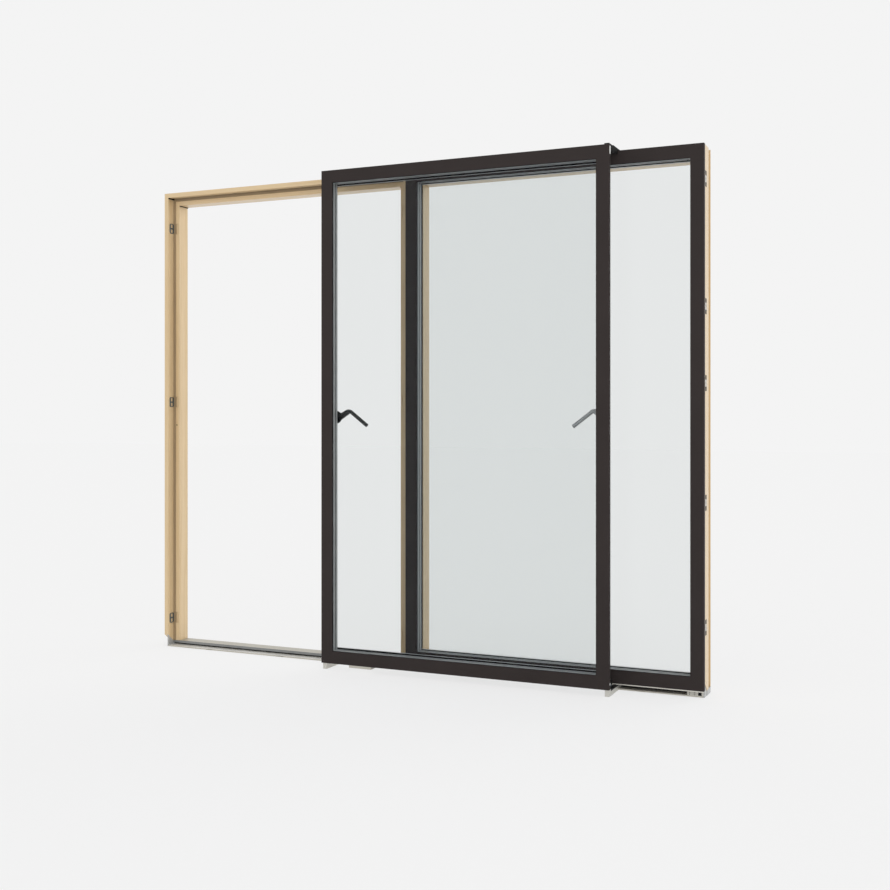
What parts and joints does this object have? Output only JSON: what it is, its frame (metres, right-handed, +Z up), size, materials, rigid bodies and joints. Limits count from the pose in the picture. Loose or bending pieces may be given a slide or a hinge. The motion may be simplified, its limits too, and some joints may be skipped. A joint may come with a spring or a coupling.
{
  "type": "parallel sliding terrace door",
  "caption": "Timber-framed terrace door with a fixed light, a clad leaf that slides in front of it on arms, triple glazing, low threshold and lever handles.",
  "frame": {"origin": "middle of the threshold's underside, at half the frame's width and depth", "axes": "+X along the door to the right as seen from outdoors, +Y indoors, +Z up"},
  "size_m": [2.49, 0.249, 2.0995],
  "materials": {
    "pine": "bare planed pine",
    "cladding": "dark brown satin powder coat",
    "dark_core": "dark brown paint",
    "glass": "clear triple glazing",
    "spacer": "grey matt",
    "rubber": "black matt",
    "threshold_metal": "natural anodised",
    "black_metal": "black satin",
    "steel": "zinc plated",
    "black_plastic": "black matt",
    "white_plastic": "white matt",
    "pale_plastic": "pale grey matt",
    "handle_metal": "dark grey satin coat"
  },
  "bodies": {
    "frame": {"left_jamb": "pine", "right_jamb": "pine", "frame_head": "pine", "mullion": "pine", "fixed_sill": "pine", "threshold": "threshold_metal", "running_rail": "threshold_metal", "slot_lining": "rubber", "threshold_end_plates": "threshold_metal", "rail_end_stop": "pale_plastic", "stop_buffer": "rubber", "top_guide": "threshold_metal", "head_rail": "black_metal", "lock_keeps": "steel", "doorway_seals": "rubber", "fixing_clips": "black_plastic", "fixing_sleeves": "white_plastic", "fixed_left_stile": "cladding", "fixed_core_left_stile": "dark_core", "fixed_top_rail": "cladding", "fixed_core_top_rail": "dark_core", "fixed_right_stile": "cladding", "fixed_core_right_stile": "dark_core", "fixed_bottom_rail": "cladding", "fixed_core_bottom_rail": "dark_core", "fixed_bead": "dark_core", "fixed_gaskets": "rubber", "fixed_spacers": "spacer", "fixed_glass": "glass"},
    "leaf": {"lower_left_arm": "threshold_metal", "lower_right_arm": "threshold_metal", "arm_covers": "black_plastic", "carriages": "threshold_metal", "upper_left_arm": "black_metal", "upper_right_arm": "black_metal", "corner_pivots": "black_metal", "edge_plates": "steel", "bottom_plate": "threshold_metal", "handle_rosettes": "handle_metal", "leaf_left_stile": "cladding", "leaf_core_left_stile": "dark_core", "leaf_top_rail": "cladding", "leaf_core_top_rail": "dark_core", "leaf_right_stile": "cladding", "leaf_core_right_stile": "dark_core", "leaf_bottom_rail": "cladding", "leaf_core_bottom_rail": "dark_core", "leaf_bead": "dark_core", "leaf_gaskets": "rubber", "leaf_spacers": "spacer", "leaf_glass": "glass"},
    "left_handle": {"left_handle": "handle_metal"},
    "right_handle": {"right_handle": "handle_metal"}
  },
  "joints": [
    {"name": "leaf_slide", "type": "slide", "parent": "frame", "child": "leaf", "axis": [1, 0, 0], "range_m": [-0.884, 0.25]},
    {"name": "left_handle_turn", "type": "hinge", "parent": "leaf", "child": "left_handle", "pos_m": [-0.292, -0.108, 1.0585], "axis": [0, 1, 0], "range_deg": [0, 90]},
    {"name": "right_handle_turn", "type": "hinge", "parent": "leaf", "child": "right_handle", "pos_m": [0.873, -0.108, 1.0585], "axis": [0, -1, 0], "range_deg": [0, 90]}
  ]
}
